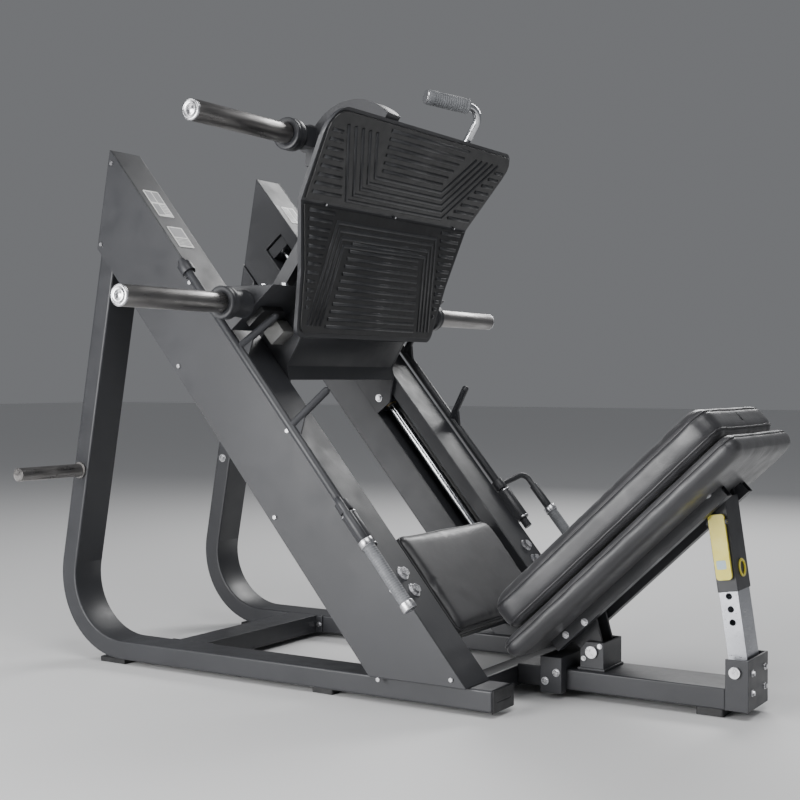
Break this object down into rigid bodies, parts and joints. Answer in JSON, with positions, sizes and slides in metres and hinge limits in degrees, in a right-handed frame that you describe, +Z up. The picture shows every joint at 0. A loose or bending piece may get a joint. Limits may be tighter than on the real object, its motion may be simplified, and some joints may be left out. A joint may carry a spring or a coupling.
{
  "type": "leg press machine",
  "caption": "Angled plate-loaded leg press with a sliding foot carriage on inclined rods, swing-out safety stops and a tilting back pad.",
  "frame": {"origin": "middle of the machine's bounding box, on the floor", "axes": "+X from the rail tops towards the backrest, +Y to the seated user's right, +Z up"},
  "size_m": [1.846, 1.688, 1.5235],
  "materials": {
    "frame_paint": "satin charcoal powder coat",
    "guide_chrome": "polished",
    "dark_chrome": "dark polished",
    "bright_steel": "bright zinc",
    "black_rubber": "matte",
    "black_leatherette": "soft sheen",
    "yellow_paint": "gloss",
    "strut_steel": "satin",
    "grip_rubber": "matte",
    "bronze": "satin",
    "pale_plastic": "matte",
    "black_plastic": "matte"
  },
  "bodies": {
    "frame": {"rail_beam_right": "frame_paint", "rail_beam_left": "frame_paint", "side_panel_right": "frame_paint", "side_panel_left": "frame_paint", "base_tube_right": "frame_paint", "base_tube_left": "frame_paint", "base_end_caps": "black_plastic", "guide_rods": "guide_chrome", "guide_rod_blocks": "frame_paint", "rod_bumpers": "black_rubber", "rear_cross_brace": "frame_paint", "front_cross_tube": "frame_paint", "spine_tube": "frame_paint", "spine_end_bracket": "frame_paint", "seat_post_saddle": "frame_paint", "hinge_bracket": "frame_paint", "pivot_pins": "bright_steel", "rubber_feet": "black_rubber", "storage_pegs": "dark_chrome", "seat_pad": "black_leatherette", "seat_frame": "frame_paint", "lock_brackets": "frame_paint", "frame_bolts": "bright_steel"},
    "sled": {"foot_plate": "frame_paint", "foot_mat_lower": "black_rubber", "foot_mat_upper": "black_rubber", "sled_side_plate_right": "frame_paint", "sled_side_plate_left": "frame_paint", "sled_cross_beam": "frame_paint", "sled_struts": "frame_paint", "horn_arm_right": "frame_paint", "horn_arm_left": "frame_paint", "catch_bumpers": "black_rubber", "bearing_blocks": "frame_paint", "rod_bushings": "bronze", "side_guide_blocks": "pale_plastic", "sled_bolts": "bright_steel", "lower_weight_sleeves": "dark_chrome", "upper_weight_sleeves": "dark_chrome", "horn_collars": "frame_paint", "horn_end_caps": "bright_steel", "hoop_arm": "frame_paint", "upper_horn_bar": "frame_paint", "push_handle": "guide_chrome", "push_grip": "grip_rubber"},
    "lock_left": {"lock_shaft_left": "frame_paint", "lock_handle_left": "frame_paint", "lock_grip_left": "grip_rubber"},
    "lock_right": {"lock_shaft_right": "frame_paint", "lock_handle_right": "frame_paint", "lock_grip_right": "grip_rubber"},
    "backrest": {"back_cushion": "black_leatherette", "back_shell": "black_leatherette", "backrest_frame": "frame_paint", "strut_top_pin": "bright_steel"},
    "strut_inner": {"strut_inner": "strut_steel"},
    "strut_outer": {"strut_outer": "frame_paint", "strut_marker_ring": "yellow_paint"},
    "release_lever": {"release_lever": "yellow_paint"},
    "pop_pin": {"pop_pin": "bright_steel"}
  },
  "joints": [
    {"name": "carriage_slide", "type": "slide", "parent": "frame", "child": "sled", "axis": [-0.6374, 0, 0.7705], "range_m": [0, 0.42]},
    {"name": "lock_left_turn", "type": "hinge", "parent": "frame", "child": "lock_left", "pos_m": [-0.71786, -0.39, 1.3701], "axis": [0.6374, 0, -0.7705], "range_deg": [0, 85]},
    {"name": "lock_right_turn", "type": "hinge", "parent": "frame", "child": "lock_right", "pos_m": [-0.71786, 0.39, 1.3701], "axis": [-0.6374, 0, 0.7705], "range_deg": [0, 85]},
    {"name": "backrest_recline", "type": "hinge", "parent": "frame", "child": "backrest", "pos_m": [0.51697, 0, 0.113], "axis": [0, 1, 0], "range_deg": [-5, 5]},
    {"name": "strut_foot_pivot", "type": "hinge", "parent": "frame", "child": "strut_inner", "pos_m": [0.86997, 0, 0.107], "axis": [0, 1, 0], "range_deg": [-5, 5]},
    {"name": "strut_slide", "type": "slide", "parent": "strut_inner", "child": "strut_outer", "axis": [-0.1486, 0, 0.9889], "range_m": [-0.032, 0.032]},
    {"name": "release_lever_pull", "type": "hinge", "parent": "strut_outer", "child": "release_lever", "pos_m": [0.82035, -0.053, 0.43729], "axis": [-0.9889, 0, -0.1486], "range_deg": [0, 8], "stiffness_Nm_per_rad": 3, "springref_deg": -8.59},
    {"name": "pop_pin_pull", "type": "slide", "parent": "strut_outer", "child": "pop_pin", "axis": [0, -1, 0], "range_m": [0, 0.0155]}
  ],
  "couplings": [
    {"joint": "strut_foot_pivot", "follows": "backrest_recline", "ratio": 0.8545},
    {"joint": "strut_slide", "follows": "backrest_recline", "m_per_rad": -0.34807},
    {"joint": "pop_pin_pull", "follows": "release_lever_pull", "m_per_rad": 0.105}
  ]
}
